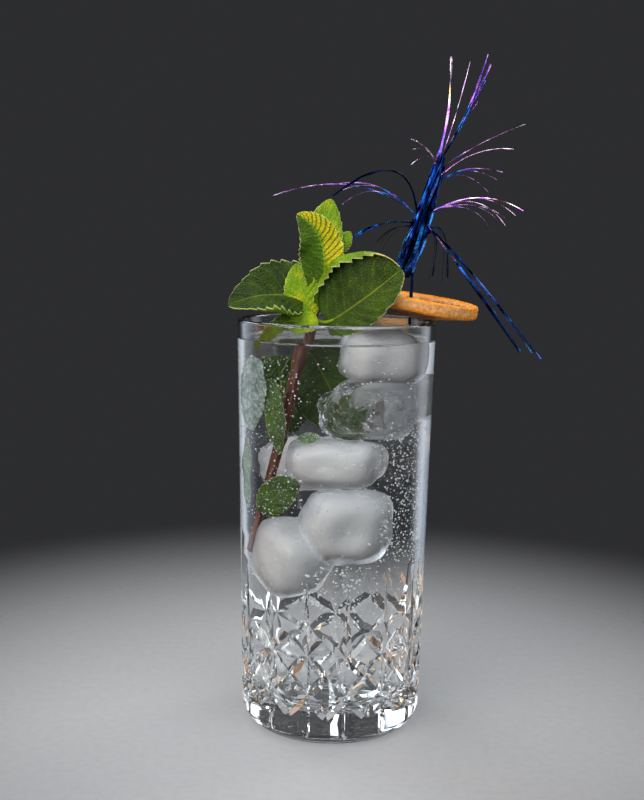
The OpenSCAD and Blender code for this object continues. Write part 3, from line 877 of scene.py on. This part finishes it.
# Each strand: start, bend and end from the pick's place, its width, and its colour value at the start and
# end,
# which also paints reflection: near black where the strand mirrors dark, silvery white for painted glints
STRANDS = [
    [(8, 0, 50), (13, -2, 66), (12, -4, 88), 1.55, 0.6, 0.95],
    [(9, 0, 50), (15, 2, 66), (20, 6, 88), 0.4, 0.8, 0.95],
    [(9, 0, 50), (19, 0, 66), (26, 2, 90), 0.7, 0.05, 0.74],
    [(9, 1, 50), (18, 1, 66), (27, 0, 86), 1.1, 0.1, 0.66],
    [(9, 1, 48), (24, 5, 59), (42, 10, 66), 0.3, 0.7, 0.9],
    [(8, 0, 44), (20, -5, 57), (35, -10, 55), 0.38, 0.8, 0.9],
    [(7, 0, 42), (18, 5, 52), (34, 9, 48), 0.6, 0.2, 0.82],
    [(6, 0, 32), (24, -4, 43), (39, -12, 33), 0.52, 0.72, 0.86],
    [(6, 1, 33), (24, 6, 39), (36, 12, 31), 0.52, 0.74, 0.8],
    [(5, -1, 28), (16, -11, 14), (39, -18, -18), 1.6, 0.7, 0.08],
    [(5, 0, 28), (18, -5, 16), (48, -10, -21), 1.2, 0.1, 0.32],
    [(3, -1, 22), (11, -9, 32), (7, -10, 9), 1.0, 0.1, 0.06],
    [(4, 1, 24), (14, 3, 34), (14, 4, 8), 1.0, 0.1, 0.08],
    [(2, 0, 24), (1, -6, 62), (-30, -18, 37), 1.6, 0.15, 0.05],
    [(3, 0, 28), (-11, -6, 31), (-23, -12, 22), 1.6, 0.5, 0.3],
    [(3, 1, 26), (-6, 6, 30), (-13, 10, 21), 0.6, 0.1, 0.05],
    [(3, 1, 30), (-20, 5, 50), (-53, 10, 38), 0.3, 0.3, 0.8],
    [(2, 0, 30), (-13, -2, 47), (-31, -8, 41), 0.52, 0.5, 0.82],
    [(9, 0, 49), (5, -6, 56), (-2, -10, 58), 0.8, 0.9, 0.9],
]
FILM = 0.1
ROLL_RIBBONS = 13
STICK_R, STICK_WRAPS = 0.7, 7


def ribbon(shape, path, along, width, turn, hue):
    """A strip of film along a path, with a crease down its middle and a turn that changes along it."""
    a, b = across_path(along)
    turn = np.asarray(turn, float)[:, None]
    across = a * np.sin(turn) + b * np.cos(turn)
    normal = np.cross(along, across)
    u = np.array([-1, -0.5, 0, 0.5, 1.0])
    width = np.asarray(width)[:, None, None]
    crease = 0.32 * (1 - np.abs(u))[None, :, None] * width * normal[:, None, :]
    points = path[:, None, :] + u[None, :, None] * across[:, None, :] * width / 2 + crease
    facing = unit(np.cross(np.gradient(points, axis=0), np.gradient(points, axis=1)))
    uv = np.stack(np.broadcast_arrays(np.linspace(0, 1, len(path))[:, None], (u[None, :] + 1) / 2), -1)
    hue = np.asarray(hue)[:, None] + 0 * u[None, :]
    shape.sheet(points, facing, np.full(points.shape[:2], FILM), uv, hue=hue)


def foil():
    """The crumpled roll with its ribbons, and the strands, some with two finer hairs beside them."""
    film = Shape("hue")
    t = np.linspace(0, 1, 90)
    path, along = PICK_AT + bezier(*ROLL, t), slope(*ROLL, t)
    angle = np.linspace(0, TAU, 56, endpoint=False)
    fold = np.abs(((angle[None, :] * 7 / TAU + 0.9 * t[:, None]) % 1) - 0.5) * 4 - 1
    radius = ROLL_D / 2 * (0.3 + 0.5 * np.sin(math.pi * t ** 0.55))[:, None] * (1 + 0.2 * fold)
    rings = tube_rings(path, along, radius, len(angle))
    crumple = ripple(rings, 4, 5)
    rings += unit(rings - path[:, None, :]) * (0.55 * crumple)[..., None]
    # Painted highlights: the roll gets bluer and brighter along its fold ridges and crumples.
    film.closed_rings(rings, hue=0.12 + 0.14 * fold + 0.2 * crumple)
    for k in range(ROLL_RIBBONS):
        s = np.linspace(0.02 + 0.03 * (k % 4), 0.99 - 0.05 * (k % 3), 60)
        middle, direction = PICK_AT + bezier(*ROLL, s), slope(*ROLL, s)
        a, b = across_path(direction)
        turn = TAU * k / ROLL_RIBBONS + 1.3 * s + 0.25 * np.sin(9 * s + k)
        out = ROLL_D / 2 * (0.42 + 0.58 * np.sin(math.pi * s ** 0.55)) * (0.84 + 0.16 * np.sin(7 * s + 2 * k))
        middle = middle + (a * np.cos(turn)[:, None] + b * np.sin(turn)[:, None]) * out[:, None]
        # Painted highlight stripes: the value climbs towards cyan in bands along each ribbon.
        hue = 0.1 + 0.42 * (0.5 + 0.5 * np.sin(5 * s + 2.1 * k)) ** 2
        wide = 1.5 + 0.7 * np.sin(5 * s + k)
        ribbon(film, middle, direction, wide, turn + math.pi / 2 + 0.5 * np.sin(6 * s + k), hue)
    for index, (start, bend, end, width, hue_and_glint_start, hue_and_glint_end) in enumerate(STRANDS):
        s = np.linspace(0, 1, 70)
        hair = [(0.0, 1.0, 1.0)] + ([(1.2, 0.93, 0.3), (-0.9, 0.85, 0.25)] if 0.5 < width < 1.5 else [])
        for shift, reach, thin in hair:
            off = shift * np.array([0.3, 1.0, 0.5])
            ends = np.array(start, float), np.array(bend, float) + off, np.array(end, float) * reach + off
            middle, direction = PICK_AT + bezier(*ends, s), slope(*ends, s)
            wide = width * thin * (1 - 0.55 * s) * (1 + 0.12 * np.sin(16 * s + index))
            turn = 0.5 * index + 2.2 * s + 0.5 * np.sin(8 * s + index)
            hue = hue_and_glint_start + (hue_and_glint_end - hue_and_glint_start) * smooth(s, 0.1, 0.8) + 0.06 * np.sin(30 * s + index)
            ribbon(film, middle, direction, wide, turn, hue)
    film.piece("foil_fringe_film", FOIL, "foil", "foil_fringe", sharp=40)


def stick():
    """The stick with its film wound round it, so that a seam climbs it."""
    low = np.array([STICK_LOW[0] + STICK_R, (STICK_LOW[1] + STICK_HIGH[1]) / 2, STICK_LOW[2] + 0.05])
    high = np.array([STICK_HIGH[0] - STICK_R, low[1], STICK_HIGH[2] - 0.05])
    t = np.linspace(0, 1, 160)
    path = low + (high - low) * t[:, None]
    along = np.repeat(unit(high - low)[None, :], len(t), axis=0)
    angle = np.linspace(0, TAU, 28, endpoint=False)
    climb = (angle[None, :] / TAU + STICK_WRAPS * t[:, None]) % 1
    round_it = STICK_R * (0.86 + 0.13 * climb)
    rings = tube_rings(path, along, round_it, len(angle))
    wound = Shape("hue")
    wound.closed_rings(rings, hue=0.05 + 0.14 * climb ** 3)
    return wound.piece("pick_stick_film", STICK, "stick", "pick_stick", sharp=45)


# ---- bubbles ----

# Bubbles up to this radius have fewer faces
SMALL_BUBBLE = 0.2
WALL_GAP, WALL_BAND = 0.7, 3.0
CHAINS = [(1, -22), (5, -20), (9, -21), (-4, -20), (14, -18), (3, 16), (-12, 14)]


def bubbles(blocks, grids, stem_path):
    """Balls of gas: dense at the right of the glass, in chains, and on the ice, the leaves and the stem."""
    places, sizes = [], []

    def put(points, low, high):
        points = np.atleast_2d(points)
        places.extend(points)
        sizes.extend(low + (high - low) * rng.random(len(points)) ** 2.2)

    def at_wall(turn_low, turn_high, z_low, z_high, count, low, high):
        z = rng.uniform(z_low, z_high, count)
        turn = np.radians(rng.uniform(turn_low, turn_high, count))
        r = inner_r(z) - WALL_GAP - WALL_BAND * rng.random(count) ** 2
        put(np.stack([r * np.cos(turn), r * np.sin(turn), z], -1), low, high)

    at_wall(-58, -15, 66, 114, 900, 0.12, 0.36)
    at_wall(-75, -10, 48, 135, 200, 0.14, 0.4)
    at_wall(-110, -70, 44, 66, 90, 0.22, 0.55)
    at_wall(180, 250, 80, 138, 300, 0.16, 0.42)
    at_wall(0, 360, 40, 138, 420, 0.12, 0.34)
    for x, y in CHAINS:
        z = np.arange(44, 72, 2.2)
        wobble = 0.6 * np.sin(z * 0.9 + x)
        put(np.stack([x + wobble, y + 0.5 * np.cos(z), z], -1), 0.22, 0.5)
    for block in blocks:
        chosen = block[rng.integers(0, len(block), 70)]
        put(chosen, 0.16, 0.42)
    for grid in grids:
        flat = grid.reshape(-1, 3)
        put(flat[rng.integers(0, len(flat), 90)] + np.array([0, -0.35, 0]), 0.11, 0.28)
    chosen = stem_path[rng.integers(12, len(stem_path), 90)]
    turn = rng.uniform(0, TAU, 90)
    put(chosen + 1.75 * np.stack([np.cos(turn), np.sin(turn), 0 * turn], -1), 0.12, 0.28)
    fine, coarse = ball(2), ball(1)
    cloud = Shape()
    for place, size in zip(places, sizes):
        if place[2] > FILL_Z - 0.8 or place[2] < FLOOR_T + 1:
            continue
        if math.hypot(place[0], place[1]) > inner_r(place[2]) - size - 0.05:
            continue
        points, faces = fine if size > SMALL_BUBBLE else coarse
        cloud.add(points * size + place, faces)
    return cloud.piece("bubbles", BUBBLE, "drink")


# ---- build ----

foot_ring()
drink()
blocks = ice()
grids = mint()
stem_path = stem()
orange_slice()
foil()
stick()
bubbles(blocks, grids, stem_path)


# ---- stage, lights and camera ----


def floor():
    """A flat round floor just under the glass."""
    mesh = bpy.data.meshes.new("floor")
    turns = np.linspace(0, TAU, FLOOR_SIDES, endpoint=False)
    edge = [(FLOOR_R * math.cos(a), FLOOR_R * math.sin(a), FLOOR_Z) for a in turns]
    mesh.from_pydata(edge, [], [tuple(range(FLOOR_SIDES))])
    mesh.materials.append(floor_look())
    made = bpy.data.objects.new("floor", mesh)
    bpy.context.scene.collection.objects.link(made)


floor()


def lamp(name, place, size, power, colour=(1, 1, 1)):
    """A square lamp aimed at the middle of the glass. Rays that pass through glass don't see it."""
    data = bpy.data.lights.new(name, "AREA")
    data.shape, data.size, data.size_y = "RECTANGLE", size, size
    data.energy, data.color = power, colour
    made = bpy.data.objects.new(name, data)
    made.location = place
    made.rotation_mode = "QUATERNION"
    made.rotation_quaternion = (Vector(MIDDLE) - Vector(place)).to_track_quat("-Z", "Y")
    made.visible_transmission = False
    bpy.context.scene.collection.objects.link(made)


MIDDLE = (0, 0, 0.1)
lamp("softbox_top", (-0.08, -0.06, 0.62), 0.3, 1.3)
lamp("softbox_front", (-0.32, -0.5, 0.36), 0.5, 2.7, (1.0, 0.99, 0.96))


class Studio(Look):
    """The plain dark surroundings, with soft fields of light that the camera doesn't see itself."""

    def __init__(self):
        world = bpy.data.worlds.new("studio")
        bpy.context.scene.world = world
        world.use_nodes = True
        self.tree = world.node_tree
        self.background = self.tree.nodes["Background"]
        self.way = self.node("TexCoord").outputs["Generated"]
        self.height = self.node("SeparateXYZ", {0: self.way}).outputs[2]
        self.light = None

    def field(self, turn, wide, low, high, colour):
        """Light from a compass turn off +Y, as wide to each side, between two heights, all in degrees."""
        flat = self.node("VectorMath", {0: self.way, 1: (1, 1, 0)}, operation="MULTIPLY").outputs[0]
        flat = self.node("VectorMath", {0: flat}, operation="NORMALIZE").outputs[0]
        middle = (math.sin(math.radians(turn)), math.cos(math.radians(turn)), 0)
        near = self.node("VectorMath", {0: flat, 1: middle}, operation="DOT_PRODUCT").outputs["Value"]
        low, high = math.sin(math.radians(low)), math.sin(math.radians(high))
        fade = 0.35 * (high - low)
        shape = self.math("MULTIPLY", self.ease(near, math.cos(math.radians(wide)), 1.0),
                          self.ease(self.height, low, low + fade))
        shape = self.math("MULTIPLY", shape, self.ease(self.height, high - fade, high, 1.0, 0.0))
        lit = self.mix(shape, (0.0, 0.0, 0.0), colour)
        self.light = lit if self.light is None else self.mix(1.0, self.light, lit, "ADD")

    def finish(self, plain):
        seen = self.node("LightPath").outputs["Is Camera Ray"]
        lit = self.mix(1.0, self.light, plain, "ADD")
        self.put(self.background.inputs["Color"], self.mix(seen, lit, plain))


studio = Studio()
studio.field(-47, 21, 12, 74, (4.4, 4.9, 5.5))
studio.field(55, 14, 12, 74, (5.4, 5.3, 5.1))
studio.field(-52, 20, -32, 26, (0.6, 0.68, 0.8))
studio.field(54, 15, -32, 26, (0.85, 0.9, 1.0))
studio.field(-100, 34, -8, 16, (5.6, 2.7, 0.8))
studio.field(-150, 40, 15, 70, (1.5, 1.5, 1.45))
studio.field(180, 85, -12, 60, (1.25, 1.25, 1.28))
studio.field(130, 35, 10, 70, (1.6, 1.7, 1.85))
studio.finish((0.026, 0.0265, 0.029))

CAMERA_PLACE = (0, -0.40062, 0.177137)
CAMERA_DOWN, CAMERA_ROLL, CAMERA_YAW = (math.radians(a) for a in (8.10986, -0.92011, 0.70009))
LENS, SENSOR = 49.41, 36


def camera():
    """The camera at the photo's viewing angle."""
    level = Vector((math.cos(CAMERA_YAW), math.sin(CAMERA_YAW), 0))
    ahead = Vector((-math.sin(CAMERA_YAW), math.cos(CAMERA_YAW), 0))
    up = Vector((0, 0, 1))
    forward = math.cos(CAMERA_DOWN) * ahead - math.sin(CAMERA_DOWN) * up
    top = math.sin(CAMERA_DOWN) * ahead + math.cos(CAMERA_DOWN) * up
    right = math.cos(CAMERA_ROLL) * level - math.sin(CAMERA_ROLL) * top
    top = math.sin(CAMERA_ROLL) * level + math.cos(CAMERA_ROLL) * top
    data = bpy.data.cameras.new("camera")
    data.lens, data.sensor_width, data.clip_start = LENS, SENSOR, 0.01
    made = bpy.data.objects.new("camera", data)
    axes = Matrix((right, top, -forward)).transposed().to_4x4()
    made.matrix_world = Matrix.Translation(CAMERA_PLACE) @ axes
    bpy.context.scene.collection.objects.link(made)
    bpy.context.scene.camera = made


camera()
cycles = bpy.context.scene.cycles
cycles.max_bounces = 20
cycles.transmission_bounces = 20
cycles.transparent_max_bounces = 48
cycles.caustics_refractive = False
cycles.caustics_reflective = False
bpy.context.scene.view_settings.view_transform = "Standard"
